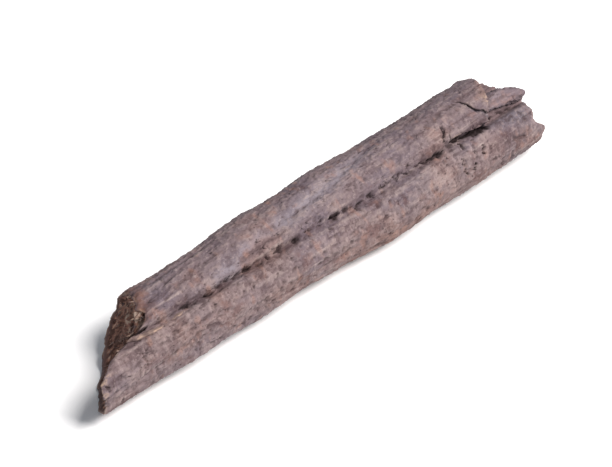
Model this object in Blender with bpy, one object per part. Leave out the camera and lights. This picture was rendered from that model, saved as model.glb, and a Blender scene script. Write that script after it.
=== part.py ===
"""Dried burdock root: one cut length of taproot with its bark all round, lying on its side.

The root runs along X. A furrow splits its upper side into two lobes. The near end (-X) was cut
through, and the lower lobe stands out past the upper one there, like a tongue; the far end (+X)
is snapped off on a slant. Both ends have shrunk into hollows.
The body is a loft: rings of points around the axis, bridged from one end to the other, and then
flattened along the underside that it lies on. All lengths are in metres and all angles in degrees.
"""

import math

import bmesh
import bpy
from mathutils import Vector

MM = 0.001

# Size of the whole piece.
LENGTH = 60 * MM  # without the tongue at the near end, which stands out past it
RADIUS_NEAR = 4.55 * MM
RADIUS_SWELL = 0.42 * MM  # how much thicker the root is around SWELL_AT
SWELL_AT = 0.62  # share of the length, from the near end
SWELL_LENGTH = 0.33  # share of the length over which the swell dies away
RADIUS_FAR = 4.72 * MM
WIDE = 1.04  # the section's half width along Y, as a share of its radius
TALL = 0.97  # its half height along Z
BEND = 0.35 * MM  # how far the axis wanders sideways
BEND_TURNS = 0.75  # how much of a full wave it makes along the root
BEND_START = 0.1  # the share of a wave at which it starts

# Directions around the axis, turning from +Y (0) through +Z (90).
FURROW = 130.0
CUT_SIDE = 39.5  # the side where the near end is cut back furthest

# The furrow winds: it starts nearer the upper lobe and swings out halfway along.
FURROW_START = -4.5
FURROW_START_ENDS = (0.15, 0.35)  # shares of the length between which it joins the furrow's line
FURROW_SWING = 5.0
FURROW_SWING_AT = 0.57
FURROW_SWING_LENGTH = 0.13

# Grooves that the root dried into: angle from the furrow at the near end and at the far end,
# depth, half width in degrees, and the shares of the length between which each runs.
GROOVES = (
    (0.0, 0.0, 0.50 * MM, 24.0, -0.2, 1.2),  # broad valley of the furrow
    (0.0, 0.0, 0.50 * MM, 6.5, -0.2, 1.2),  # crease along its bottom
    (24.0, -106.0, 0.30 * MM, 11.0, 0.20, 0.72),  # hollow that crosses the upper lobe on a slant
    (-118.0, -134.0, 0.70 * MM, 13.0, 0.05, 1.2),  # back furrow
    (56.0, 48.0, 0.22 * MM, 12.0, -0.2, 0.60),  # dent along the lower lobe
    (188.0, 198.0, 0.45 * MM, 12.0, -0.2, 0.72),  # low back furrow
)
FADE = 0.12  # share of the length over which a groove comes and goes

# Waves that keep the body from being straight: height, turns along the root, turns around it, start.
WAVES = (
    (0.10 * MM, 2.3, 1, 40.0),
    (0.08 * MM, 4.1, 2, 200.0),
    (0.06 * MM, 6.7, 3, 95.0),
)

# Near end: a slant, and the steps by which its rim departs from that plane: an angle, a half
# width in degrees and a shift along X.
NEAR_MIDDLE = 3.6 * MM  # from the end of the length to the middle of the slant
NEAR_SLANT = 4.4 * MM  # half the slant's length
NEAR_STEPS = (
    (106.0, 16.0, 1.5 * MM),  # notch in the upper lobe, beside the furrow
    (134.0, 11.0, -0.9 * MM),  # the furrow's own edge
    (152.0, 24.0, -3.3 * MM),  # the lower lobe's tongue
    (188.0, 25.0, -1.2 * MM),  # its outer side
    (310.0, 50.0, 0.4 * MM),  # the back, cut off a little squarer
)
NEAR_FACE = ((0.88, 0.10 * MM), (0.66, 0.95 * MM), (0.34, 1.45 * MM))  # share of radius, depth

# Far end: snapped on a slant, and the upper lobe's bark stops short of the core under it.
FAR_SLANT = 2.0 * MM  # half the slant's length
FAR_SHORT_SIDE = 60.0
FAR_STEPS = (
    (122.0, 12.0, 1.4 * MM),  # splinter of the upper lobe, beside the furrow
    (162.0, 11.0, -0.8 * MM),  # chip out of the lower lobe
    (205.0, 20.0, -0.5 * MM),  # the corner under it
)
FAR_TEETH = ((0.14 * MM, 7, 34.0), (0.10 * MM, 11, 115.0))  # height, number around, start
FAR_STEP = 0.60 * MM  # height from the core up to the bark
LOST_TOWARDS_BACK = (-118.0, -96.0)  # turns from the furrow between which the loss begins
LOST_TOWARDS_FURROW = (2.0, 10.0)  # and between which it ends
LOBE_TURN = 90.0  # from the furrow to the top of the upper lobe
BARK_END_TOP = 4.2 * MM  # from the far end to the bark's edge, at the top of the lobe
BARK_END_FURROW = 7.8 * MM  # the same beside the furrow
BARK_EDGE = 1.8 * MM  # length of the step down at the bark's edge
FAR_FACE = ((0.86, -0.05 * MM), (0.60, 0.40 * MM), (0.30, 0.85 * MM))

UNDERSIDE_CUT = 0.45 * MM  # how much the lying side is flattened
POINTS_AROUND = 64
RINGS = 56
FURROW_CROWDING = 0.5  # spacing of the points at the furrow, as a share of even spacing
CUT_TOLERANCE = 0.00001 * MM
SHARP_ANGLE = 40.0

BARK_COLOUR = (0.262, 0.199, 0.197, 1.0)
BARK_ROUGHNESS = 0.75


def smooth_step(low, high, value):
    """0 below low, 1 above high, and an S-curve between them."""
    share = min(max((value - low) / (high - low), 0.0), 1.0)
    return share * share * (3 - 2 * share)


def turn_from(angle, other):
    """The shorter turn from other to angle, from -180 to 180 degrees."""
    return (angle - other + 180) % 360 - 180


def hump(away, half_width):
    """A bell that is 1 where away is 0 and falls off past half_width."""
    return math.exp(-((away / half_width) ** 2))


def along(x):
    """The share of the length at x, from 0 at the near end to 1 at the far end."""
    return x / LENGTH + 0.5


def furrow_angle(x):
    share = along(x)
    swing = FURROW_SWING * hump(share - FURROW_SWING_AT, FURROW_SWING_LENGTH)
    return FURROW + FURROW_START * (1 - smooth_step(*FURROW_START_ENDS, share)) + swing


def bark_loss(angle, x):
    """1 where the upper lobe's bark has broken off at the far end, 0 where it is whole."""
    turn = turn_from(angle, furrow_angle(x))
    lobe = smooth_step(*LOST_TOWARDS_BACK, turn) * (1 - smooth_step(*LOST_TOWARDS_FURROW, turn))
    to_furrow = min(max(1 + turn / LOBE_TURN, 0), 1)
    edge = LENGTH / 2 - BARK_END_TOP - (BARK_END_FURROW - BARK_END_TOP) * to_furrow
    return lobe * smooth_step(edge, edge + BARK_EDGE, x)


def mean_radius(x):
    share = along(x)
    taper = RADIUS_NEAR + (RADIUS_FAR - RADIUS_NEAR) * share
    return taper + RADIUS_SWELL * hump(share - SWELL_AT, SWELL_LENGTH)


def radius(angle, x):
    """Distance from the axis to the surface."""
    share = along(x)
    a = math.radians(angle)
    body = mean_radius(x) / math.hypot(math.cos(a) / WIDE, math.sin(a) / TALL)
    turn = turn_from(angle, furrow_angle(x))
    for start, end, depth, half_width, first, last in GROOVES:
        runs = smooth_step(first, first + FADE, share) * (1 - smooth_step(last - FADE, last, share))
        centre = start + (end - start) * share
        body -= depth * runs * hump(turn_from(turn, centre), half_width)
    for height, turns_along, turns_around, start in WAVES:
        phase = math.tau * turns_along * share + turns_around * a + math.radians(start)
        body += height * math.sin(phase)
    return body - FAR_STEP * bark_loss(angle, x)


def axis_at(x):
    """The axis is bent sideways in one long wave, and rises so that the underside stays level."""
    sideways = BEND * math.sin(math.tau * (BEND_TURNS * along(x) + BEND_START))
    return Vector((x, sideways, mean_radius(x) * TALL))


def shift_at(angle, steps):
    """How far an end's rim is shifted along X by these steps, for a point at this angle."""
    return sum(shift * hump(turn_from(angle, at), width) for at, width, shift in steps)


def near_end(angle):
    """Where the rim of the near end lies along X, for a point at this angle."""
    slant = NEAR_SLANT * math.cos(math.radians(angle - CUT_SIDE))
    return -LENGTH / 2 + NEAR_MIDDLE + slant + shift_at(angle, NEAR_STEPS)


def far_end(angle):
    """Where the rim of the snapped end lies along X, with small teeth all round."""
    slant = FAR_SLANT * (1 + math.cos(math.radians(angle - FAR_SHORT_SIDE)))
    teeth = sum(
        height * math.sin(math.radians(count * angle + start)) for height, count, start in FAR_TEETH
    )
    return LENGTH / 2 - slant + shift_at(angle, FAR_STEPS) + teeth


def angles():
    """Angles around the section, crowded near the furrow."""
    for i in range(POINTS_AROUND):
        u = 2 * (i + 0.5) / POINTS_AROUND - 1
        yield FURROW + 180 * u * (FURROW_CROWDING + (1 - FURROW_CROWDING) * u * u)


def point(angle, x):
    a = math.radians(angle)
    outward = Vector((0, math.cos(a), math.sin(a)))
    return axis_at(x) + outward * radius(angle, x)


def body_ring(share):
    """A ring of the body, at this share of the way from each near rim point to its far one."""
    return [point(a, near_end(a) + (far_end(a) - near_end(a)) * share) for a in angles()]


def face_ring(rim, scale, depth, inward):
    """A ring inside an end's rim: the rim drawn in towards its centre and sunk by depth."""
    centre = sum(rim, Vector()) / len(rim)
    return [centre.lerp(p, scale) + Vector((inward * depth, 0, 0)) for p in rim]


def add_ring(bm, points):
    """Adds the points as vertices joined in a closed loop, and returns the loop's edges."""
    verts = [bm.verts.new(p) for p in points]
    return [bm.edges.new((verts[i - 1], v)) for i, v in enumerate(verts)]


def root_mesh():
    bm = bmesh.new()
    near, far = body_ring(0), body_ring(1)
    rings = [face_ring(near, scale, depth, 1) for scale, depth in reversed(NEAR_FACE)]
    rings += [body_ring(i / (RINGS - 1)) for i in range(RINGS)]
    rings += [face_ring(far, scale, depth, -1) for scale, depth in FAR_FACE]
    loops = [add_ring(bm, ring) for ring in rings]
    for first, second in zip(loops, loops[1:]):
        bmesh.ops.bridge_loops(bm, edges=first + second)
    for loop in (loops[0], loops[-1]):
        cap = bmesh.ops.contextual_create(bm, geom=loop)["faces"]
        bmesh.ops.poke(bm, faces=cap)

    lowest = min(v.co.z for v in bm.verts)
    cut = bmesh.ops.bisect_plane(
        bm,
        geom=bm.verts[:] + bm.edges[:] + bm.faces[:],
        dist=CUT_TOLERANCE,
        plane_co=(0, 0, lowest + UNDERSIDE_CUT),
        plane_no=(0, 0, -1),
        clear_outer=True,
    )
    rim = [e for e in cut["geom_cut"] if isinstance(e, bmesh.types.BMEdge)]
    bmesh.ops.edgenet_fill(bm, edges=rim)
    bmesh.ops.triangulate(bm, faces=bm.faces[:])
    bmesh.ops.recalc_face_normals(bm, faces=bm.faces[:])

    # The origin is the middle of the bounding box's bottom.
    xs, ys, zs = zip(*(v.co for v in bm.verts))
    centre = Vector(((min(xs) + max(xs)) / 2, (min(ys) + max(ys)) / 2, min(zs)))
    bmesh.ops.translate(bm, verts=bm.verts[:], vec=-centre)

    mesh = bpy.data.meshes.new("burdock_root")
    bm.to_mesh(mesh)
    bm.free()
    mesh.shade_smooth()
    mesh.set_sharp_from_angle(angle=math.radians(SHARP_ANGLE))
    return mesh


def bark_material():
    material = bpy.data.materials.new("bark")
    material.use_nodes = True
    shader = material.node_tree.nodes["Principled BSDF"]
    shader.inputs["Base Color"].default_value = BARK_COLOUR
    shader.inputs["Roughness"].default_value = BARK_ROUGHNESS
    shader.inputs["Metallic"].default_value = 0.0
    return material


for old in list(bpy.data.objects):
    bpy.data.objects.remove(old)

root = bpy.data.objects.new("burdock_root", root_mesh())
root.data.materials.append(bark_material())
bpy.context.collection.objects.link(root)
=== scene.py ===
"""A dried length of burdock root lying on a pale ground.

The file goes through the root as it is put together: the root itself with its bark and both broken
ends, then what has come loose from it, which is the two plates of bark at the far end, the curl of
inner bark beside them, the small scales, the torn lip beside the furrow and the torn fibres. The
ground, the light and the camera come last. Lengths in the shape formulas are in millimetres and
angles in degrees; the meshes are written in metres.
"""

import bpy
import numpy as np
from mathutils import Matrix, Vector


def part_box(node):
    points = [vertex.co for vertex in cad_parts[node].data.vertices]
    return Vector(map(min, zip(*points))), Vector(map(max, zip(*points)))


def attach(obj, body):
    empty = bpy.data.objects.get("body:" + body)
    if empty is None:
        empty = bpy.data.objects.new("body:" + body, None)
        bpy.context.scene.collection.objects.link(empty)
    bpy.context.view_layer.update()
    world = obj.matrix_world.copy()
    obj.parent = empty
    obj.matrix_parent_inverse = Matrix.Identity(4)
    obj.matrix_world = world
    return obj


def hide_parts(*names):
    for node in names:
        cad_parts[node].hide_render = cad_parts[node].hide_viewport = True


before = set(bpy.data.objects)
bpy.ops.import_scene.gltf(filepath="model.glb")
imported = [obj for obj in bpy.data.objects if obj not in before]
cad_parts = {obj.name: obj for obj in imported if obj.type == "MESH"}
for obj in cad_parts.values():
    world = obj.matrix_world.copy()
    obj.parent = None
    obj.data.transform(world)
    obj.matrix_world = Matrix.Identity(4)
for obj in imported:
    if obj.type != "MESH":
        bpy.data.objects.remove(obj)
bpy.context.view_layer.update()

# ------------------------------------------------------------------------------------------
# The root. A length of taproot that shrank as it dried, so its thin bark lies in wrinkles and a
# furrow parts its upper side into two lobes. The near end was cut through on a slant and has
# hollowed; the far end was snapped, and the upper lobe's bark broke off short there.

MM = 0.001
ROOT_LENGTH = 60.0  # without the tongue at the near end
NEAR_RADIUS, FAR_RADIUS = 4.55, 4.72
SWELL, SWELL_AT, SWELL_SPREAD = 0.42, 0.62, 0.33  # its height, then shares of the length
WIDE, TALL = 1.04, 0.97  # the section's half axes, as shares of its radius
BEND, BEND_WAVES, BEND_START = 0.35, 0.75, 0.1  # the axis's sine: height, waves, and where in one
FURROW = 130.0  # from +Y, turning through +Z; "turn" below is the angle from the furrow
FURROW_START, FURROW_SWING = 4.5, 5.0  # degrees short of that at first, and past it later
MM_PER_DEGREE = 0.08  # round the bark


def smooth_step(low, high, value):
    """0 at low and beyond, 1 at high and beyond, and 3s^2 - 2s^3 between, where s is the share of
    the way. If low is the larger, it falls as the value grows."""
    share = np.clip((value - low) / (high - low), 0, 1)
    return share * share * (3 - 2 * share)


def turn_from(angle, other):
    """The shorter turn from other to angle, from -180 to 180 degrees."""
    return (angle - other + 180) % 360 - 180


def hump(away, half_width):
    """A bell: e to the power of minus (away / half_width) squared."""
    return np.exp(-((away / half_width) ** 2))


def noise(places, seed):
    """Gradient noise, about -1 to 1: each corner of a unit lattice has a seeded direction, whose
    dot product with the way from that corner is blended over the cell with 6t^5 - 15t^4 + 10t^3."""
    rng = np.random.default_rng(seed)
    directions = rng.normal(size=(256, 3))
    directions /= np.linalg.norm(directions, axis=1, keepdims=True)
    shuffled = rng.permutation(256)
    cell = np.floor(places).astype(int)
    within = places - cell
    fade = within**3 * (within * (within * 6 - 15) + 10)
    total = np.zeros(places.shape[:-1])
    for corner in np.ndindex(2, 2, 2):
        at = (cell + corner) & 255
        pick = shuffled[(shuffled[(shuffled[at[..., 0]] + at[..., 1]) & 255] + at[..., 2]) & 255]
        share = np.prod(np.where(np.array(corner) == 1, fade, 1 - fade), axis=-1)
        total += share * np.sum(directions[pick] * (within - corner), axis=-1)
    return total * 1.7  # which brings the highest values to about 1


def layers(places, seed, count=3, gain=0.5):
    """A sum of noises, each at twice the frequency and gain times the height of the last."""
    return sum(gain**i * noise(places * 2.0**i, seed + i) for i in range(count))


def share_along(x):
    """X as a share of the root's length, from 0 at the near end to 1 at the far end."""
    return x / ROOT_LENGTH + 0.5


def furrow_angle(x):
    """The furrow's angle: FURROW, less an S-curve that starts it nearer the upper lobe, plus a
    bell that swings it towards the lower lobe just past halfway."""
    share = share_along(x)
    start = FURROW_START * (1 - smooth_step(0.15, 0.35, share))
    return FURROW - start + FURROW_SWING * hump(share - 0.57, 0.13)


def mean_radius(x):
    """The radius: an even taper from one end to the other, plus a bell where the root swells."""
    share = share_along(x)
    taper = NEAR_RADIUS + (FAR_RADIUS - NEAR_RADIUS) * share
    return taper + SWELL * hump(share - SWELL_AT, SWELL_SPREAD)


def root_axis(x):
    """The axis: a sideways sine of height BEND, raised with the radius so that it lies level."""
    sideways = BEND * np.sin(2 * np.pi * (BEND_WAVES * share_along(x) + BEND_START))
    return np.stack([x, sideways, mean_radius(x) * TALL], axis=-1)


# The grooves: turn at the near end and at the far end, depth, half width as a turn, and the
# shares of the length between which it runs. The first two are the furrow and its sharp bottom.
GROOVES = (
    (0.0, 0.0, 0.50, 24.0, -0.2, 1.2),
    (0.0, 0.0, 0.50, 6.5, -0.2, 1.2),
    (24.0, -106.0, 0.30, 11.0, 0.20, 0.72),
    (-118.0, -134.0, 0.70, 13.0, 0.05, 1.2),
    (56.0, 48.0, 0.22, 12.0, -0.2, 0.60),
    (188.0, 198.0, 0.45, 12.0, -0.2, 0.72),
)
FADE = 0.12  # share of the length over which a groove starts and stops
# The waves: height, how many there are along the root and round it, and the phase in degrees.
WAVES = ((0.10, 2.3, 1, 40), (0.08, 4.1, 2, 200), (0.06, 6.7, 3, 95))


def bark_radius(angle, x):
    """The radius before wrinkling: an ellipse, less a bell for each groove, plus a sine for each
    wave."""
    share = share_along(x)
    a = np.radians(angle)
    turn = turn_from(angle, furrow_angle(x))
    radius = mean_radius(x) / np.hypot(np.cos(a) / WIDE, np.sin(a) / TALL)
    for start, end, depth, half_width, first, last in GROOVES:
        runs = smooth_step(first, first + FADE, share) * (1 - smooth_step(last - FADE, last, share))
        centre = start + (end - start) * share
        radius = radius - depth * runs * hump(turn_from(turn, centre), half_width)
    for height, along, around, start in WAVES:
        radius = radius + height * np.sin(2 * np.pi * along * share + around * a + np.radians(start))
    return radius


LOSS, LOSS_SLANT = 4.2, 3.6  # how far short of the end the broken bark stops, and its slant


def bark_loss(angle, x):
    """1 where the upper lobe's bark has broken off at the far end, and 0 where it is whole. The
    edge lies LOSS short of the end a quarter turn from the furrow, and slants back to LOSS_SLANT
    further at the furrow; two sines make it ragged."""
    turn = turn_from(angle, furrow_angle(x))
    lobe = smooth_step(-118, -106, turn) * (1 - smooth_step(2, 7, turn))
    edge = ROOT_LENGTH / 2 - LOSS - LOSS_SLANT * np.clip(1 + turn / 90, 0, 1)
    ragged = 0.30 * np.sin(np.radians(turn * 9)) + 0.15 * np.sin(np.radians(turn * 23 + 50))
    return lobe * smooth_step(edge, edge + 0.5, x + ragged)


# The rims: X of the middle, the slant, the angle where the root is shortest, the height and the
# seed of the teeth. A step is its angle, its half width and how far it shifts the rim along X.
NEAR_RIM, FAR_RIM = (-26.4, 4.4, 39.5, 0.28, 11), (28.0, -2.0, 60.0, 0.22, 23)
NEAR_STEPS = ((106, 16, 1.5), (134, 11, -0.9), (152, 24, -3.3), (188, 25, -1.2), (310, 50, 0.4))
FAR_STEPS = ((122, 12, 1.4), (162, 11, -0.8), (205, 20, -0.5))
TOOTH_CIRCLE = 3.2  # radius of the circle on which the teeth's noise is read


def rim(angle, middle, slant, shortest, tooth, seed, steps):
    """Where an end's rim lies along X: a cosine slant that is furthest back at the angle named
    shortest, a bell for each step, and teeth of noise taken round a circle."""
    a = np.radians(angle)
    circle = np.stack([np.cos(a), np.sin(a), np.zeros_like(a)], axis=-1) * TOOTH_CIRCLE
    shifts = sum(shift * hump(turn_from(angle, at), half_width) for at, half_width, shift in steps)
    plane = slant * np.cos(np.radians(angle - shortest))
    return middle + plane + shifts + tooth * layers(circle, seed, 4, 0.6)


def near_rim(angle):
    """The rim of the end that was cut: a steep slant, with the tongue as its largest step."""
    return rim(angle, *NEAR_RIM, NEAR_STEPS)


def far_rim(angle):
    """The rim of the end that was snapped: nearly square, and longest beside the furrow."""
    return rim(angle, *FAR_RIM, FAR_STEPS)


def outward(angle):
    """The unit vector away from the axis: no X, the angle's cosine along Y, its sine along Z."""
    a = np.radians(angle)
    return np.stack([np.zeros_like(a), np.cos(a), np.sin(a)], axis=-1)


# The cracks: X and turn of one end, X and turn of the other, half width and depth. Most lie in
# the furrow, as pits; the rest lie on the lobes, many where the bark has split near the far end.
FURROW_CRACKS = (
    (-26.4, -7.0, -23.8, -6.0, 0.26, 0.80), (-22.9, -4.0, -20.4, -2.0, 0.13, 0.26),
    (-19.3, -3.0, -18.4, 2.0, 0.29, 0.57), (-18.2, 4.0, -17.7, 0.0, 0.23, 0.38),
    (-16.5, 0.0, -15.8, 4.0, 0.28, 0.54), (-15.2, -3.0, -14.6, -2.0, 0.23, 0.32),
    (-13.8, -3.0, -13.1, -6.0, 0.26, 0.51), (-12.7, 0.0, -12.1, -2.0, 0.25, 0.41),
    (-11.3, -3.0, -10.4, 0.0, 0.29, 0.65), (-9.7, 3.0, -8.8, 1.0, 0.23, 0.41),
    (-8.3, 3.0, -8.0, -1.0, 0.26, 0.49), (-7.0, 0.0, -6.3, -3.0, 0.24, 0.41),
    (-4.7, 1.5, -4.3, -1.5, 0.29, 0.57), (-3.2, -4.0, -2.4, -5.0, 0.22, 0.27),
    (-1.5, -6.0, -0.8, -9.0, 0.24, 0.41), (0.4, -4.0, 1.2, -1.0, 0.29, 0.62),
    (1.8, -3.0, 2.5, -5.0, 0.27, 0.51), (3.5, 2.0, 4.3, -1.0, 0.24, 0.44),
    (5.1, -4.0, 5.8, -1.0, 0.22, 0.42), (7.0, -6.0, 7.9, -2.0, 0.19, 0.30),
    (8.9, -7.0, 9.6, -4.0, 0.24, 0.42), (10.5, -1.0, 11.1, 2.0, 0.19, 0.30),
    (12.3, -2.0, 13.7, 1.0, 0.16, 0.50), (13.5, 2.5, 15.8, 2.0, 0.22, 0.75),
    (16.9, -26.0, 16.3, -8.0, 0.18, 0.60), (16.2, -7.0, 17.2, 2.0, 0.15, 0.35),
    (17.0, -5.0, 19.4, -1.0, 0.22, 0.85), (19.0, 0.5, 21.8, 4.5, 0.38, 1.20),
    (24.0, -5.0, 27.2, 4.0, 0.15, 0.40), (23.0, -14.0, 23.1, 1.0, 0.16, 0.50),
)
LOBE_CRACKS = (
    (17.9, 4.0, 18.1, 17.0, 0.17, 0.55), (17.0, 20.0, 17.2, 43.0, 0.13, 0.28),
    (19.2, 10.0, 18.9, 25.0, 0.13, 0.28), (20.2, 22.0, 20.0, 30.0, 0.21, 0.70),
    (18.5, 37.0, 18.3, 44.0, 0.17, 0.50), (17.3, 43.0, 17.1, 47.0, 0.16, 0.45),
    (15.4, 10.0, 14.5, 33.0, 0.11, 0.14), (16.1, 30.0, 15.7, 46.0, 0.11, 0.14),
    (12.6, 16.0, 12.0, 34.0, 0.11, 0.10), (18.3, 39.0, 16.4, 44.0, 0.12, 0.16),
    (8.0, -69.0, 9.5, -67.0, 0.13, 0.26), (10.0, -49.0, 11.2, -47.0, 0.12, 0.18),
    (3.4, -29.0, 4.5, -27.0, 0.13, 0.26), (5.6, -24.0, 6.6, -22.0, 0.13, 0.24),
    (-31.2, 33.0, -31.0, 41.0, 0.20, 0.40), (-29.6, 34.0, -28.2, 40.0, 0.14, 0.28),
    (-26.0, 20.0, -25.7, 40.0, 0.13, 0.26), (-5.9, 26.0, -6.3, 41.0, 0.12, 0.14),
    (-2.2, 30.0, -2.6, 46.0, 0.12, 0.12),
)


def cracked(x, turn, cracks, ragged):
    """How deep the cracks cut: each is a straight line on the unrolled bark, whose distance sets
    the depth by an S-curve that narrows to half at the line's ends. The places are first shifted
    by the ragged noise."""
    across, up = x + ragged[0], turn * MM_PER_DEGREE + ragged[1]
    depth_here = np.zeros_like(x)
    for x_0, turn_0, x_1, turn_1, half_width, depth in cracks:
        run, rise = x_1 - x_0, (turn_1 - turn_0) * MM_PER_DEGREE
        share = ((across - x_0) * run + (up - turn_0 * MM_PER_DEGREE) * rise) / (run**2 + rise**2)
        share = np.clip(share, 0, 1)
        away = np.hypot(across - x_0 - share * run, up - turn_0 * MM_PER_DEGREE - share * rise)
        thinning = 1 - 0.5 * (2 * share - 1) ** 2
        inside = smooth_step(1.6 * half_width * thinning, 0.2 * half_width, away)
        depth_here = np.maximum(depth_here, depth * inside)
    return depth_here


SMALL_CRACKS = 70
SMALL_CRACK_WIDTH, SMALL_CRACK_DEPTH = 0.15, 0.20  # of the largest


def scattered_cracks(count, seed):
    """Rows for small cracks at random places on the bark: as likely lengthwise as crosswise."""
    rng = np.random.default_rng(seed)
    x, turn = rng.uniform(-30, 29, count), rng.uniform(-175, 175, count)
    lengthwise = rng.random(count) < 0.5
    long, skew = rng.uniform(0.5, 1.6, count), rng.uniform(-0.2, 0.2, count)
    run = np.where(lengthwise, long, skew)
    rise = np.where(lengthwise, skew, long) / MM_PER_DEGREE
    size = rng.uniform(0.5, 1.0, count)
    widths, depths = SMALL_CRACK_WIDTH * size, SMALL_CRACK_DEPTH * size
    return np.stack([x, turn, x + run, turn + rise, widths, depths], axis=1)


def corrugated(phase, presence):
    """Grooves where the phase is a whole number of turns: (1/2 + cos(phase)/2) squared."""
    return (0.5 + 0.5 * np.cos(phase)) ** 2 * presence


SKIN_RADIUS, TWIST = 4.6, 1.3  # of the plain cylinder that the wrinkles follow; degrees per mm
LONG_WRINKLES, FINE_WRINKLES = 20, 53  # how many lie round the root
CROSS_WRINKLE_STEP = 0.75  # from one to the next
PIT_DEPTH = 0.16
BAND_X, BAND_TURN, BAND_SLANT = -12.7, -13.0, 2.17  # painted highlight: a pale band that slants over the furrow


def wrinkled(angle, x):
    """The bark's relief, in millimetres outward, and the masks that its colour reads.

    Lengthwise wrinkles are corrugations round the root, whose phase drifts with a stretched noise
    so that they wander and twist; crosswise ones are corrugations along it, kept to patches. Soft
    folds, ledges where a noise crosses a level, a grain, small pits and the cracks are added.
    Each noise reads the skin stretched by three factors, of which a small first one draws it out
    along the root; the number after them is its seed."""
    turn = turn_from(angle, furrow_angle(x))
    spun = np.radians(turn + TWIST * x)
    skin = np.stack([x, SKIN_RADIUS * np.cos(spun), SKIN_RADIUS * np.sin(spun)], axis=-1)
    lower_lobe = smooth_step(-2, 14, turn) * (1 - smooth_step(120, 150, turn))

    drift = noise(skin * (0.07, 0.35, 0.35), 41)
    small_drift = noise(skin * (0.22, 0.8, 0.8), 42)
    here = smooth_step(-0.25, 0.45, noise(skin * (0.07, 0.5, 0.5), 43))
    long_wrinkles = corrugated(LONG_WRINKLES * spun + 7 * drift + 1.5 * small_drift, here)
    here = smooth_step(-0.2, 0.5, noise(skin * (0.16, 0.9, 0.9), 44))
    fine_wrinkles = corrugated(FINE_WRINKLES * spun + 9 * drift + 5 * small_drift, here)
    patch = smooth_step(-0.2, 0.35, noise(skin * (0.14, 0.3, 0.3), 45) + 0.35 * lower_lobe - 0.1)
    here = smooth_step(0.0, 0.4, noise(skin * (1.0, 0.42, 0.42), 46)) * patch
    wobble = 6 * noise(skin * (0.3, 0.3, 0.3), 47) + 2.5 * noise(skin * (0.9, 0.8, 0.8), 48)
    cross_wrinkles = corrugated(2 * np.pi * x / CROSS_WRINKLE_STEP + wobble, here)

    folds = layers(skin * (0.09, 0.40, 0.40), 51, 2)
    ledges = smooth_step(-0.10, 0.10, layers(skin * (0.45, 0.8, 0.8), 53, 3))
    grain = layers(skin * (1.5, 2.0, 2.0), 56, 3, 0.75)
    crumbs = np.abs(layers(skin * (0.9, 1.5, 1.5), 59, 3, 0.7)) * hump(turn, 9)
    pits = smooth_step(0.35, 0.80, layers(skin * (1.0, 1.3, 1.3), 171, 2, 0.6))
    pits = pits * (0.35 + 0.65 * lower_lobe + 0.5 * hump(turn, 22))
    ragged = [0.26 * layers(skin * 1.4, seed, 3, 0.7) for seed in (61, 64)]
    cracks = (*FURROW_CRACKS, *LOBE_CRACKS, *scattered_cracks(SMALL_CRACKS, 67))
    crack_depth = cracked(x, turn, cracks, ragged)

    # The factors of the relief are heights; those of the hollow shade say how dark each hollow
    # looks, as painted shade.
    relief = 0.13 * folds + 0.07 * grain + 0.05 * ledges - 0.09 * long_wrinkles - 0.05
    relief = relief - 0.03 * fine_wrinkles - 0.05 * cross_wrinkles - 0.11 * crumbs - crack_depth
    relief = relief - PIT_DEPTH * pits
    hollow_shade = 0.10 * long_wrinkles + 0.05 * fine_wrinkles + 0.08 * cross_wrinkles
    hollow_shade = hollow_shade + 0.14 * crumbs - 0.12 * grain + 0.12 * pits
    across = turn - BAND_TURN + BAND_SLANT * (x - BAND_X)
    sheen_band = hump(across, 13) * smooth_step(-20, -12, x) * (1 - smooth_step(4, 13, x))
    masks = {
        "crack": np.clip(1.7 * crack_depth, 0, 1),
        "furrow": hump(turn, 7.0) * (0.7 + 0.6 * hump(x + 14, 8)),
        "lower_lobe": lower_lobe,
        "hollow_shade": np.clip(0.35 + 3.0 * hollow_shade, 0, 1),
        "sheen_band": sheen_band,
    }
    return relief, masks


RAYS = 6  # how fine the rays are that run out from the middle of an end face


def end_face(rim_points, drawn_in, depth_at, height, seed):
    """The rings of a broken end's face, from the rim inwards, and how spongy each point is. A ring
    is the rim drawn in towards its centre by a share, and sunk along X by a profile of that share
    plus height times the sum of a noise on rays and a spongy one."""
    centre = rim_points.mean(axis=0)
    arms = rim_points - centre
    share = drawn_in[:, None]
    direction = arms / np.linalg.norm(arms, axis=1, keepdims=True)
    rays = direction * RAYS + share[..., None] * 0.7
    rings = centre + arms * share[..., None]
    rough = 0.26 * layers(rays, seed, 3, 0.6) + 0.36 * layers(rings, seed + 5, 3, 0.6)
    cells = layers(rings * 2.4, seed + 9, 2, 0.7)
    rings[..., 0] += depth_at(share) + height * rough * smooth_step(1.0, 0.90, share)
    return rings, np.clip(0.5 + 1.1 * rough + 0.35 * cells, 0, 1)


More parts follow.
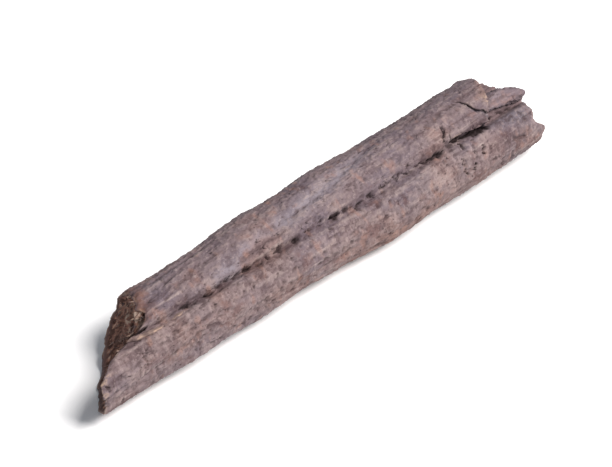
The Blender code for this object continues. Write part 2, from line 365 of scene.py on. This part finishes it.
def closed_tubes(name, rings, masks):
    """Makes one closed mesh from rings of points, laid out as tube, ring, point, and coordinate.
    Quads join each ring to the next, and each tube's end rings close in fans on their centres.
    Masks become the points' attributes. If the volume comes out negative, the faces are turned."""
    tubes, rows, around = rings.shape[:3]
    index = np.arange(tubes * rows * around).reshape(tubes, rows, around)
    beside = np.roll(index, -1, axis=2)
    quads = np.stack([index[:, :-1], index[:, 1:], beside[:, 1:], beside[:, :-1]], axis=-1)
    first_pole = np.broadcast_to(index.size + 2 * np.arange(tubes)[:, None], (tubes, around))
    first_fan = np.stack([first_pole, index[:, 0], beside[:, 0]], axis=-1)
    last_fan = np.stack([first_pole + 1, beside[:, -1], index[:, -1]], axis=-1)
    quads, fans = quads.reshape(-1, 4), np.concatenate([first_fan, last_fan]).reshape(-1, 3)

    def with_poles(values):
        """The rings' values in a row, and after them the mean of each tube's two end rings."""
        width = values.shape[-1]
        poles = np.stack([values[:, 0].mean(axis=1), values[:, -1].mean(axis=1)], axis=1)
        return np.concatenate([values.reshape(-1, width), poles.reshape(-1, width)])

    points = with_poles(rings)
    triangles = np.concatenate([quads[:, [0, 1, 2]], quads[:, [0, 2, 3]], fans])
    a, b, c = (points[triangles[:, i]] for i in range(3))
    if np.sum(a * np.cross(b, c)) < 0:
        quads, fans = quads[:, ::-1], fans[:, ::-1]
    loops = np.concatenate([quads.ravel(), fans.ravel()])
    starts = np.concatenate([np.arange(len(quads)) * 4, quads.size + np.arange(len(fans)) * 3])
    mesh = bpy.data.meshes.new(name)
    mesh.vertices.add(len(points))
    mesh.vertices.foreach_set("co", (points * MM).astype(np.float32).ravel())
    mesh.loops.add(len(loops))
    mesh.loops.foreach_set("vertex_index", loops.astype(np.int32))
    mesh.polygons.add(len(starts))
    mesh.polygons.foreach_set("loop_start", starts.astype(np.int32))
    mesh.update(calc_edges=True)
    mesh.shade_smooth()
    for mask, values in masks.items():
        kind, field = ("FLOAT_VECTOR", "vector") if values.ndim == 4 else ("FLOAT", "value")
        values = with_poles(values.reshape(tubes, rows, around, -1))
        layer = mesh.attributes.new(mask, kind, "POINT")
        layer.data.foreach_set(field, values.astype(np.float32).ravel())
    piece = bpy.data.objects.new(name, mesh)
    bpy.context.collection.objects.link(piece)
    return piece


AROUND, ALONG, FACE_RINGS = 220, 390, 26
CROWDING = 0.62  # spacing of the points at the furrow, as a share of even spacing
BARK_STEP = 0.6  # from the core up to the bark
UNDERSIDE = 0.25  # height at which the side that the root lies on is flattened
SOFTNESS = 0.08  # of the bend from that flat side up into the round
NEAR_ROLL, NEAR_REACH = 0.20, 0.30  # how deep the bark's edge rolls in, and over what length
FAR_ROLL, FAR_REACH = 0.16, 0.25

u = 2 * (np.arange(AROUND) + 0.5) / AROUND - 1
v = np.linspace(0, 1, ALONG)[:, None]
angle = np.broadcast_to(FURROW + 180 * u * (CROWDING + (1 - CROWDING) * u * u), (ALONG, AROUND))
x = near_rim(angle) * (1 - v) + far_rim(angle) * v
core = bark_loss(angle, x)
smooth = root_axis(x) + outward(angle) * (bark_radius(angle, x) - BARK_STEP * core)[..., None]
relief, body_masks = wrinkled(angle, x)
lying = 1 - smooth_step(UNDERSIDE - 0.1, UNDERSIDE + 0.5, smooth[..., 2])
relief = relief * (1 - lying) - 0.4 * np.abs(relief) * lying  # only hollows where it lies
from_near, from_far = x - near_rim(angle), far_rim(angle) - x
rolled_in = NEAR_ROLL * hump(from_near, NEAR_REACH) + FAR_ROLL * hump(from_far, FAR_REACH)
body = smooth.copy()
body[..., 2] = UNDERSIDE + np.logaddexp(0, (smooth[..., 2] - UNDERSIDE) / SOFTNESS) * SOFTNESS
body += outward(angle) * (relief - rolled_in)[..., None]


def near_depth(share):
    """A ledge where the bark's edge stands up, a groove inside it, then a bowl."""
    ledge, groove = 0.30 * smooth_step(0.97, 0.91, share), 0.25 * hump(share - 0.66, 0.05)
    return ledge + groove + 1.7 * (1 - share**1.5)


def far_depth(share):
    """The same for the snapped end, shallower, and with a stump that stands up in the middle."""
    ledge, groove = 0.25 * smooth_step(0.97, 0.90, share), 0.2 * hump(share - 0.64, 0.05)
    bowl = ledge + groove + 1.1 * (1 - share**2)
    return 0.7 * hump(share, 0.33) - bowl


# Knots (above 0) and holes (below 0) in the cut face: share of the radius, turn, size and
# strength. The last is a broad shallow hollow towards the lower back, darkened as painted shade.
KNOTS_AND_HOLES = (
    (0.74, -42, 0.75, 0.8), (0.50, -95, 0.5, 0.5), (0.34, -66, 0.6, -0.8), (0.90, -24, 0.5, -0.7),
    (0.66, -12, 0.6, -0.7), (0.62, 35, 0.8, -0.6), (0.78, 70, 0.7, 0.6), (0.80, 185, 3.0, -0.3),
)
KNOT_HEIGHT = 0.45

drawn_in = np.linspace(1, 0, FACE_RINGS + 2)[1:-1] ** 0.9
near_face, near_sponge = end_face(body[0], drawn_in, near_depth, height=1.0, seed=71)
far_face, far_sponge = end_face(body[-1], drawn_in, far_depth, height=0.55, seed=91)
spots = np.zeros_like(near_sponge)
near_turn = np.radians(turn_from(angle[0], furrow_angle(body[0, :, 0])))
for share, turn, size, strength in KNOTS_AND_HOLES:
    away = drawn_in[:, None] * np.exp(1j * near_turn) - share * np.exp(1j * np.radians(turn))
    spots += strength * hump(np.abs(away) * NEAR_RADIUS, size)
near_face[..., 0] -= KNOT_HEIGHT * spots
near_sponge = np.clip(near_sponge + spots, 0, 1)
rings = np.concatenate([near_face[::-1], body, far_face])

# The step from here to the frame: it centres the root on its CAD box and sets it on the floor.
root_low, root_high = (np.array(corner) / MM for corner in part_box("burdock_root"))
middle = (rings.min(axis=(0, 1)) + rings.max(axis=(0, 1))) / 2
to_cad = (root_low + root_high) / 2 - middle
to_cad[2] = root_low[2] - rings[..., 2].min()


def with_faces(values, near=0.0, far=0.0):
    """A mask for the whole root: the bark's values between those of the two end faces."""
    on_face = np.ones((FACE_RINGS, AROUND))
    return np.concatenate([on_face * near, values, on_face * far])[None]


root_masks = {name: with_faces(values) for name, values in body_masks.items()}
radial = drawn_in[:, None]
root_masks["drawn_in"] = with_faces(np.ones((ALONG, AROUND)), radial[::-1], radial)
root_masks["sponge"] = with_faces(np.zeros((ALONG, AROUND)), near_sponge[::-1], far_sponge)
root_masks["face"] = with_faces(np.zeros((ALONG, AROUND)), 1.0, 1.0)
root_masks["core"] = with_faces(core)

# The bark's torn edge is broad and pale round the tongue, and thin elsewhere; round the tongue its
# paleness is partly the torn bark and partly a painted highlight along the rim.
tongue = hump(turn_from(angle, furrow_angle(x)) - 28, 20)
near_edge = hump(from_near, 0.20 + 0.65 * tongue) * (0.5 + 0.5 * tongue)
root_masks["edge"] = with_faces(np.maximum(near_edge, 0.2 * hump(from_far, 0.20)))
# Beside the cut, the upper lobe's bark is darker brown.
brown_by_cut = smooth_step(2.2, 0.3, from_near) * smooth_step(-12, -25, turn_from(angle, FURROW))
root_masks["brown_by_cut"] = with_faces(brown_by_cut)
# The far part is greyer: all round from X = 24, and less so along the lower lobe before that.
far_lower = 0.40 * body_masks["lower_lobe"] * smooth_step(3, 11, x)
root_masks["far"] = with_faces(np.maximum(smooth_step(20.5, 24.0, x), far_lower), 0.0, 1.0)
rays = np.broadcast_to(outward(angle[0]) * RAYS, (1, ALONG + 2 * FACE_RINGS, AROUND, 3)).copy()
rays[..., 0] = root_masks["drawn_in"] * 1.5
root_masks["rays"] = rays
root = closed_tubes("burdock_root_bark", rings[None] + to_cad, root_masks)


def linear(red, green, blue):
    """A colour given as 0 to 255 on a screen, made linear, with alpha."""
    shares = np.array([red, green, blue]) / 255
    return (*np.where(shares < 0.04045, shares / 12.92, ((shares + 0.055) / 1.055) ** 2.4), 1.0)


class Shade:
    """A socket in a material's node tree. Arithmetic on it adds Math nodes."""

    def __init__(self, tree, socket):
        self.tree, self.socket = tree, socket

    def node(self, kind, settings=None, inputs=None, output=0):
        """Adds a node of this type, applies its settings, then sets or links its inputs."""
        node = self.tree.nodes.new(kind)
        for name, value in (settings or {}).items():
            setattr(node, name, value)
        for name, value in (inputs or {}).items():
            if isinstance(value, Shade):
                self.tree.links.new(value.socket, node.inputs[name])
            else:
                node.inputs[name].default_value = value
        return Shade(self.tree, node.outputs[output])

    def math(self, operation, *values):
        """A Math node on these values."""
        return self.node("ShaderNodeMath", {"operation": operation}, dict(enumerate(values)))

    def __add__(self, other):
        return self.math("ADD", self, other)

    def __sub__(self, other):
        return self.math("SUBTRACT", self, other)

    def __rsub__(self, other):
        return self.math("SUBTRACT", other, self)

    def __mul__(self, other):
        return self.math("MULTIPLY", self, other)

    __radd__, __rmul__ = __add__, __mul__

    def between(self, low, high, to_low=0.0, to_high=1.0):
        """This value mapped from low..high to to_low..to_high, smoothly and clamped."""
        limits = {"Value": self, "From Min": low, "From Max": high}
        limits |= {"To Min": to_low, "To Max": to_high}
        return self.node("ShaderNodeMapRange", {"interpolation_type": "SMOOTHSTEP"}, limits)

    def mask(self, name, output="Fac"):
        """A named attribute of the piece."""
        return self.node("ShaderNodeAttribute", {"attribute_name": name}, output=output)

    def tint(self, other, share):
        """This colour mixed with another by a share."""
        inputs = {0: share, 6: self, 7: other}
        return self.node("ShaderNodeMix", {"data_type": "RGBA"}, inputs, output=2)

    def tints(self, *rows):
        """This colour with each row's colour mixed over it in turn, by the row's share."""
        colour = self
        for other, share in rows:
            colour = colour.tint(linear(*other), share)
        return colour

    def colour(self, *screen):
        """A plain colour to start from."""
        shade = self.node("ShaderNodeRGB")
        shade.socket.default_value = linear(*screen)
        return shade

    def pattern(self, scale, stretch=(1, 1, 1), detail=3.0, rough=0.55):
        """Noise on these coordinates, stretched by a Mapping node."""
        at = self.node("ShaderNodeMapping", inputs={"Vector": self, "Scale": stretch})
        inputs = {"Vector": at, "Scale": scale, "Detail": detail, "Roughness": rough}
        return self.node("ShaderNodeTexNoise", inputs=inputs)

    def cells(self, scale, stretch=(1, 1, 1)):
        """The distance to the nearest of a scatter of points on these coordinates."""
        at = self.node("ShaderNodeMapping", inputs={"Vector": self, "Scale": stretch})
        return self.node("ShaderNodeTexVoronoi", inputs={"Vector": at, "Scale": scale})


def new_material(name):
    """A material with a Principled shader, and the piece's Object coordinates as a Shade."""
    material = bpy.data.materials.new(name)
    material.use_nodes = True
    tree = material.node_tree
    shader = tree.nodes["Principled BSDF"]
    coordinates = tree.nodes.new("ShaderNodeTexCoord")
    return material, shader, Shade(tree, coordinates.outputs["Object"])


def finish_shader(shader, colour, roughness, height, depth):
    """Links the varying colour and roughness, and a Bump node for the height."""
    bump = colour.node("ShaderNodeBump", inputs={"Height": height, "Distance": depth})
    for name, shade in (("Base Color", colour), ("Roughness", roughness), ("Normal", bump)):
        colour.tree.links.new(shade.socket, shader.inputs[name])


bark_material, shader, place = new_material("dried_burdock_bark")
fibres = place.pattern(1500, (0.10, 1, 1), 4, 0.62)
across_fibres = place.pattern(1500, (1, 0.35, 0.35), 3, 0.6)
warm = place.pattern(850, (1, 0.6, 0.6), 2, 0.5)
mottle = place.pattern(650, (0.7, 1, 1), 4, 0.65)
patch = place.pattern(190, (0.6, 1, 1), 3, 0.55)
stain = place.pattern(75, (0.5, 1, 1), 2, 0.5)
blotch = place.pattern(400, (0.8, 1, 1), 3, 0.6)
speck = place.cells(2300, (0.7, 1, 1))
dust = place.pattern(3200, (1, 1, 1), 2, 0.5)

lower_lobe, hollow_shade = place.mask("lower_lobe"), place.mask("hollow_shade")
edge, drawn_in = place.mask("edge"), place.mask("drawn_in")

bark = place.colour(104, 89, 92).tints(
    # the lower lobe lighter and warmer: partly its own warmer brown, partly painted light on the
    # side that faces the light
    ((113, 96, 96), lower_lobe),
    # painted highlight: the pale bluish band over the furrow
    ((122, 114, 122), place.mask("sheen_band") * 0.8),
    ((94, 87, 94), place.mask("far")),
    ((120, 92, 84), patch.between(0.50, 0.64) * 0.55),  # warm patches, then cool ones
    ((86, 76, 87), patch.between(0.50, 0.36) * 0.50),
    ((126, 86, 68), stain.between(0.56, 0.70) * 0.30),  # the same, broader
    ((92, 84, 94), stain.between(0.44, 0.32) * 0.40),
    ((134, 117, 114), mottle.between(0.52, 0.68) * 0.50),  # light mottling, then dark
    ((70, 52, 55), mottle.between(0.48, 0.34) * 0.50),
    ((146, 130, 126), fibres.between(0.54, 0.72) * 0.50),  # light and dark fibres lengthwise
    ((60, 44, 47), fibres.between(0.46, 0.30) * 0.50),
    ((66, 47, 49), across_fibres.between(0.46, 0.32) * lower_lobe * 0.52),  # and crosswise
    ((148, 131, 130), across_fibres.between(0.54, 0.68) * lower_lobe * 0.34),
    ((88, 60, 57), blotch.between(0.54, 0.66) * lower_lobe * 0.50),
    ((140, 104, 90), warm.between(0.56, 0.74) * 0.42),
    ((46, 33, 36), speck.between(0.26, 0.08) * patch.between(0.40, 0.58) * 0.75),
    ((160, 144, 140), dust.between(0.58, 0.74) * 0.30),
    ((52, 38, 40), dust.between(0.42, 0.26) * 0.45),
    ((60, 45, 46), hollow_shade.between(0.45, 0.95) * 0.55),  # painted shade darkens the hollows, and the ridges are paler
    ((134, 118, 116), hollow_shade.between(0.32, 0.10) * 0.40),
    # painted shade: dark mottled marks along the furrow's crease
    ((56, 36, 38), place.mask("furrow") * mottle.between(0.62, 0.38) * 0.60),
    # darker brown beside the cut on the upper lobe
    ((92, 60, 50), place.mask("brown_by_cut") * mottle.between(0.30, 0.60) * 0.85),
)

# The wood that shows where the bark has broken off.
wood = place.colour(98, 80, 82).tints(
    ((122, 102, 98), fibres.between(0.5, 0.75)),
    ((72, 54, 54), fibres.between(0.48, 0.28) * 0.7),
)

# The broken ends: pale and dark rays, pale knots, dark holes and a darker ring along the rim.
rays = place.mask("rays", "Vector").pattern(2.4, (1, 1, 1), 4, 0.65)
pores = place.pattern(1700, (0.6, 1, 1), 4, 0.65)
sponge = place.mask("sponge") + pores * 1.3 - 0.65
cut = place.colour(156, 114, 99).tints(
    ((190, 150, 130), rays.between(0.50, 0.64) * 0.8),
    ((88, 54, 46), rays.between(0.46, 0.34) * 0.7),
    ((218, 196, 178), sponge.between(0.58, 0.86) * 0.8),  # knots, then holes
    # dark holes, and the broad hollow towards the lower back darkened as painted shade
    ((56, 34, 28), sponge.between(0.42, 0.12) * 0.9),
    ((112, 98, 87), place.mask("far") * 0.60),
    ((92, 70, 66), drawn_in.between(0.91, 0.96)),  # the bark's own thickness round the rim
    ((78, 52, 44), drawn_in.between(0.88, 0.85) * 0.5),
)

# All three together, and over them the torn edges, pale and dark, and the cracks, darkened with
# painted shade.
bark = bark.tint(wood, place.mask("core") * 0.85).tint(cut, place.mask("face")).tints(
    # the pale torn edge: partly the torn bark's own colour, partly a painted highlight along the
    # tongue's rim
    ((172, 146, 126), edge * mottle.between(0.44, 0.56) * 0.7),
    ((62, 46, 44), edge * mottle.between(0.48, 0.38) * 0.6),
    # painted shade in the cracks, which are also cut into the bark
    ((38, 25, 26), place.mask("crack").between(0.12, 0.85) * 0.9),
)
rough = fibres.between(0.3, 0.7, 0.92, 0.74)
bumps = fibres * 0.45 + mottle * 0.45 + across_fibres * 0.25 + dust * 0.2
finish_shader(shader, bark, rough, bumps, depth=0.00022)
shader.inputs["Specular IOR Level"].default_value = 0.3
root.data.materials.append(bark_material)
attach(root, "root")
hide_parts("burdock_root")

# ------------------------------------------------------------------------------------------
# The bark plates. Where the upper lobe's bark broke off at the far end, two stiff plates of it
# have come away from the core: one stands up along the furrow's widest crack, and the other lies
# over its edge on top of the lobe.

PLATE_AROUND, UPPER_RINGS, UNDER_RINGS = 150, 22, 12
PALE_SPOT_X, PALE_SPOT_TURN = 23.5, -26  # where the top plate's edge shows its pale inside

# A corner is its X, its turn and its height above the bark, which is below 0 where the plate is
# still joined on.
FURROW_PLATE = (
    (16.9, -22.0, -0.20), (17.1, -7.0, 0.05), (19.2, -4.5, 0.30), (21.0, -1.0, 0.36),
    (22.6, 0.0, 0.34), (22.3, -9.0, 0.26), (21.5, -19.0, 0.16), (20.8, -34.0, 0.06),
    (20.3, -50.0, -0.10), (18.2, -38.0, -0.22),
)
TOP_PLATE = (
    (19.4, -54.0, -0.16), (20.9, -44.0, 0.10), (21.4, -30.0, 0.20), (22.0, -19.0, 0.26),
    (22.8, -12.0, 0.22), (23.6, -22.0, 0.30), (24.4, -42.0, 0.34), (25.1, -64.0, 0.28),
    (24.6, -92.0, 0.14), (22.4, -88.0, -0.12),
)


def bark_plate(corners, thickness, seed):
    """The rings and masks of a plate of bark: they grow from the middle of its top to a ragged
    outline and shrink again along its underside. It thins as the square root of 1 - share^10."""
    corners = np.array(corners)
    loop = np.concatenate([corners, corners[:1]])
    steps = np.hypot(np.diff(loop[:, 0]), np.diff(loop[:, 1]) * MM_PER_DEGREE)
    travelled = np.concatenate([[0], np.cumsum(steps)])
    at = np.linspace(0, travelled[-1], PLATE_AROUND, endpoint=False)
    outline = np.stack([np.interp(at, travelled, loop[:, i]) for i in range(3)], axis=-1)
    centre = corners.mean(axis=0)
    flat = outline * (1, MM_PER_DEGREE, 0)
    ragged = 1 + 0.07 * layers(flat * 1.3, seed, 3, 0.7)
    growing, shrinking = np.linspace(0.03, 1, UPPER_RINGS), np.linspace(0.98, 0.06, UNDER_RINGS)
    share = np.concatenate([growing, shrinking])[:, None]
    upper = (np.arange(len(share)) < UPPER_RINGS)[:, None]
    spread = share[..., None] * ragged[:, None]
    x, turn, height = np.moveaxis(centre + (outline - centre) * spread, -1, 0)
    angle = furrow_angle(x) + turn
    relief, masks = wrinkled(angle, x)
    rounded = thickness * np.sqrt(np.clip(1 - share**10, 0, 1))
    lift = height + np.where(upper, 0.6 * relief + 0.5 * rounded, -0.5 * rounded)
    rings = root_axis(x) + outward(angle) * (bark_radius(angle, x) + lift)[..., None]
    masks = {name: values[None] * upper for name, values in masks.items()}
    masks["crack"] = masks["crack"] * 0.4
    masks["core"] = np.broadcast_to(np.where(upper, 0.0, 1.0), x.shape)[None]
    spot = 1.2 * hump(x - PALE_SPOT_X, 0.40) * hump(turn - PALE_SPOT_TURN, 5)
    masks["edge"] = ((0.15 * smooth_step(0.84, 1.0, share) + spot) * upper)[None]
    return rings[None], masks


for name, corners, thickness, seed in (
    ("furrow_bark_plate", FURROW_PLATE, 0.34, 101),
    ("top_bark_plate", TOP_PLATE, 0.30, 111),
):
    rings, masks = bark_plate(corners, thickness, seed)
    plate = closed_tubes(name, rings + to_cad, masks)
    plate.data.materials.append(bark_material)
    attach(plate, "root")
    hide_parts("burdock_root")

# ------------------------------------------------------------------------------------------
# The curl of inner bark. A strip under the top plate has rolled up lengthwise as it dried, and
# carries the line of the upper lobe on to the snapped end.


def strip(path, rows, around, seed):
    """The rings of a strip along the bark, and how uneven each point is. A row of the path is X,
    a turn, a height above the bark, and the half width and half height of an oval section there,
    which noise and nine ribs make uneven. Both ends draw in by the square root of
    1 - |2s - 1|^6."""
    path = np.array(path)
    along = np.linspace(0, 1, rows)
    x, turn, height, half_width, half_height = (
        np.interp(along, np.linspace(0, 1, len(path)), column) for column in path.T
    )
    tip = np.sqrt(np.clip(1 - np.abs(2 * along - 1) ** 6, 0.01, 1))
    phi = np.linspace(0, 2 * np.pi, around, endpoint=False)
    places = np.broadcast_arrays(x[:, None] * 0.9, np.cos(phi), np.sin(phi))
    lumps = layers(np.stack(places, axis=-1) * 1.4, seed, 3, 0.6)
    uneven = 1 + 0.22 * lumps + 0.10 * np.cos(9 * phi + 5 * lumps)
    sideways = (half_width * tip)[:, None] * np.cos(phi) * uneven
    up = (half_height * tip)[:, None] * np.sin(phi) * uneven
    angle = furrow_angle(x)[:, None] + turn[:, None] + sideways / MM_PER_DEGREE
    wide_x = np.broadcast_to(x[:, None], angle.shape)
    distance = bark_radius(angle, wide_x) + height[:, None] + up
    return (root_axis(wide_x) + outward(angle) * distance[..., None])[None], uneven[None]


curl_path = (
    (22.7, -22.0, -0.45, 0.70, 0.40), (24.2, -23.0, -0.34, 0.95, 0.46),
    (25.8, -20.0, -0.32, 0.98, 0.48), (27.2, -14.0, -0.34, 0.85, 0.44),
    (28.7, -9.0, -0.42, 0.55, 0.34),
)
rings, uneven = strip(curl_path, rows=60, around=36, seed=121)
curl = closed_tubes("inner_bark_curl", rings + to_cad, {"uneven": uneven})

inner_material, shader, place = new_material("dried_inner_bark")
fibres = place.pattern(1500, (0.12, 1, 1), 4, 0.62)
mottle = place.pattern(600, (0.7, 1, 1), 4, 0.65)
inner = place.colour(98, 84, 90).tints(
    ((116, 92, 90), mottle.between(0.5, 0.7)),
    ((134, 118, 120), fibres.between(0.54, 0.74) * 0.6),
    ((62, 44, 45), fibres.between(0.46, 0.30) * 0.7),
    ((64, 48, 51), mottle.between(0.48, 0.34) * 0.6),
    # painted shade where the curl's surface dips in
    ((72, 54, 56), place.mask("uneven").between(1.0, 0.82) * 0.6),
)
bumps = fibres * 0.6 + mottle * 0.6
finish_shader(shader, inner, fibres.between(0.3, 0.7, 0.9, 0.72), bumps, depth=0.00035)
curl.data.materials.append(inner_material)
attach(curl, "root")
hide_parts("burdock_root")

# ------------------------------------------------------------------------------------------
# The bark scales. Small chips of the bark's outermost layer that have lifted at one end as the
# root dried; most lie beside the furrow.

SCALES, SCALE_RINGS, SCALE_SIDES = 180, 5, 8


def bark_scales(count, seed):
    """The rings and masks of the scales: each is a flat tube along the root, whose half width is
    the square root of 1 - s^2 times a random factor, and whose height changes evenly with s."""
    rng = np.random.default_rng(seed)
    turn = np.where(rng.random(count) < 0.6, rng.normal(0, 11, count), rng.uniform(-170, 95, count))
    angle = FURROW + turn
    near, far = near_rim(angle), far_rim(angle)
    middle = near + (far - near) * rng.uniform(0.03, 0.84, count)
    half_long, half_width = rng.uniform(0.20, 0.75, count), rng.uniform(0.07, 0.24, count)
    thick, lift = rng.uniform(0.02, 0.05, count), rng.uniform(-0.07, 0.10, count)
    s = np.linspace(-0.95, 0.95, SCALE_RINGS)
    x = middle[:, None] + half_long[:, None] * s
    wide = half_width[:, None] * np.sqrt(1 - s**2) * rng.uniform(0.4, 1.5, (count, SCALE_RINGS))
    phi = np.linspace(0, 2 * np.pi, SCALE_SIDES, endpoint=False)
    sideways = wide[..., None] * np.cos(phi) / MM_PER_DEGREE
    x = np.broadcast_to(x[..., None], sideways.shape)
    angle = furrow_angle(x) + turn[:, None, None] + sideways
    relief, masks = wrinkled(angle, x)
    resting = relief.mean(axis=(1, 2), keepdims=True)
    tilt = 0.02 + lift[:, None, None] * s[None, :, None] + thick[:, None, None] * np.sin(phi)
    distance = bark_radius(angle, x) + resting + tilt
    return root_axis(x) + outward(angle) * distance[..., None], masks


rings, masks = bark_scales(SCALES, seed=161)
scales = closed_tubes("bark_scales", rings + to_cad, masks)
scales.data.materials.append(bark_material)
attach(scales, "root")
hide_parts("burdock_root")

# ------------------------------------------------------------------------------------------
# The torn lip. Beside the near end the lower lobe's bark has torn along the furrow, and its pale
# inner side shows as a thin ragged line.

lip_path = (
    (-26.4, -4.0, -0.26, 0.16, 0.18), (-25.8, -2.5, -0.06, 0.32, 0.24),
    (-25.2, -0.5, 0.00, 0.38, 0.26), (-24.5, 1.5, -0.06, 0.26, 0.20),
    (-23.7, 3.5, -0.01, 0.34, 0.24), (-22.9, 5.0, -0.08, 0.24, 0.19),
    (-22.0, 6.0, -0.22, 0.12, 0.12), (-21.0, 5.5, -0.26, 0.10, 0.10),
    (-20.0, 4.5, -0.06, 0.28, 0.22), (-19.3, 4.0, -0.14, 0.18, 0.16),
)
rings, uneven = strip(lip_path, rows=140, around=24, seed=131)
lip = closed_tubes("torn_lip", rings + to_cad, {"uneven": uneven})

torn_material, shader, place = new_material("torn_fibrous_bark")
fibres = place.pattern(2200, (0.25, 1, 1), 3, 0.6)
blotch = place.pattern(520, (0.8, 1, 1), 3, 0.6)
torn = place.colour(118, 98, 92).tints(
    ((160, 134, 117), fibres.between(0.48, 0.66)),
    ((84, 66, 65), blotch.between(0.52, 0.40) * 0.9),
)
finish_shader(shader, torn, blotch.between(0.3, 0.7, 0.9, 0.78), fibres, depth=0.00015)
lip.data.materials.append(torn_material)
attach(lip, "root")
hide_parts("burdock_root")

# ------------------------------------------------------------------------------------------
# The torn fibres. Strands of the wood that were pulled out and broke off when the root was cut
# and snapped; they stand out of both end faces.

FIBRE_RINGS, FIBRE_SIDES = 7, 5
FIBRE_ROOT = 0.15  # how deep a fibre starts below its end face
LOWEST_FIBRE = 0.8  # lowest height of a fibre's start, which keeps it clear of the ground


def fibre_rings(starts, heads, long, thick, seed):
    """Thin tapered tubes from these points along these headings, bent by a parabola: point at s
    is start + s*long*heading + s^2*bend, with a regular section that narrows as 1 - 0.75 s."""
    rng = np.random.default_rng(seed)
    count = len(starts)
    heads = heads / np.linalg.norm(heads, axis=1, keepdims=True)
    bend = rng.normal(size=(count, 3)) * 0.22 * long[:, None]
    side = np.cross(heads, (0.0, 0.6, 0.8))
    side /= np.linalg.norm(side, axis=1, keepdims=True)
    top = np.cross(heads, side)
    s = np.linspace(0, 1, FIBRE_RINGS)[None, :, None]
    line = starts[:, None] + s * (long[:, None] * heads)[:, None] + s**2 * bend[:, None]
    phi = np.linspace(0, 2 * np.pi, FIBRE_SIDES, endpoint=False)[None, None, :, None]
    width = (thick[:, None, None] * (1 - 0.75 * s))[:, :, None]
    ring = np.cos(phi) * side[:, None, None] + np.sin(phi) * top[:, None, None]
    return line[:, :, None] + width * ring


def face_fibres(face, count, seed, sense, limit):
    """Fibres that start at random points of an end face, denser towards its rim, point along X in
    the sense given with random sideways parts, and are kept short near the limit."""
    rng = np.random.default_rng(seed)
    ring = (2 + (FACE_RINGS - 2) * rng.random(count) ** 1.6).astype(int)
    starts = face[ring, rng.integers(0, AROUND, count)]
    heads = rng.normal(size=(count, 3)) * (0.2, 0.35, 0.35)
    heads[:, 0] = sense * (1 + np.abs(heads[:, 0]))
    long = rng.uniform(0.30, 0.85, count)
    long = np.minimum(long, np.clip(sense * (limit - starts[:, 0]), 0.25, None))
    starts = starts - sense * np.array([FIBRE_ROOT, 0, 0])
    starts[:, 2] = np.maximum(starts[:, 2], LOWEST_FIBRE)
    return fibre_rings(starts, heads, long, rng.uniform(0.06, 0.15, count), seed + 1)


near_fibres = face_fibres(near_face, count=150, seed=141, sense=-1, limit=-31.7)
far_fibres = face_fibres(far_face, count=90, seed=151, sense=1, limit=29.8)
rings = np.concatenate([near_fibres, far_fibres])
fibre_piece = closed_tubes("torn_fibres", rings + to_cad, {})
fibre_piece.data.materials.append(torn_material)
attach(fibre_piece, "root")
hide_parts("burdock_root")

# ------------------------------------------------------------------------------------------
# The ground, the light and the camera. A white ground under a large soft light from the front
# and right, and a long lens that looks down on the root.

HALF_GROUND = 1.5  # in metres, as are the camera's and the light's distances
GROUND_COLOUR, GROUND_ROUGHNESS = (0.90, 0.90, 0.91, 1), 0.9
ground = bpy.data.meshes.new("ground")
corners = [(i * HALF_GROUND, j * HALF_GROUND, 0) for i, j in ((-1, -1), (1, -1), (1, 1), (-1, 1))]
ground.from_pydata(corners, [], [(0, 1, 2, 3)])
floor = bpy.data.objects.new("ground", ground)
bpy.context.collection.objects.link(floor)
ground_material, shader, _ = new_material("white_ground")
shader.inputs["Base Color"].default_value = GROUND_COLOUR
shader.inputs["Roughness"].default_value = GROUND_ROUGHNESS
ground.materials.append(ground_material)

CAMERA_AZIMUTH, CAMERA_ELEVATION = -43.3, 42.5
CAMERA_DISTANCE = 0.416
LENS = 240.0  # in millimetres


def direction(azimuth, elevation):
    """A unit vector: azimuth 0 points along -Y and turns towards +X, and elevation lifts it."""
    a, e = np.radians(azimuth), np.radians(elevation)
    return Vector((np.sin(a) * np.cos(e), -np.cos(a) * np.cos(e), np.sin(e)))


aim = Vector((root_low + root_high) / 2 * MM)
camera = bpy.data.objects.new("camera", bpy.data.cameras.new("camera"))
camera.data.lens = LENS
camera.location = aim + direction(CAMERA_AZIMUTH, CAMERA_ELEVATION) * CAMERA_DISTANCE
camera.rotation_euler = (camera.location - aim).to_track_quat("Z", "Y").to_euler()
camera.data.clip_start = 0.01
bpy.context.collection.objects.link(camera)
bpy.context.scene.camera = camera


def soft_light(name, azimuth, elevation, distance, size, power, colour):
    """A square area light aimed at the root: its side in metres, and its power in watts."""
    light = bpy.data.lights.new(name, "AREA")
    light.size, light.energy, light.color = size, power, colour
    lamp = bpy.data.objects.new(name, light)
    lamp.location = aim + direction(azimuth, elevation) * distance
    lamp.rotation_euler = (lamp.location - aim).to_track_quat("Z", "Y").to_euler()
    bpy.context.collection.objects.link(lamp)


soft_light("key_light", 32, 54, distance=0.8, size=0.44, power=12.9, colour=(1.0, 0.97, 0.94))

SKY_COLOUR, SKY_STRENGTH = (0.88, 0.93, 1.0, 1), 0.34
world = bpy.data.worlds.new("studio")
world.use_nodes = True
background = world.node_tree.nodes["Background"]
background.inputs["Color"].default_value = SKY_COLOUR
background.inputs["Strength"].default_value = SKY_STRENGTH
bpy.context.scene.world = world
bpy.context.scene.view_settings.view_transform = "Standard"
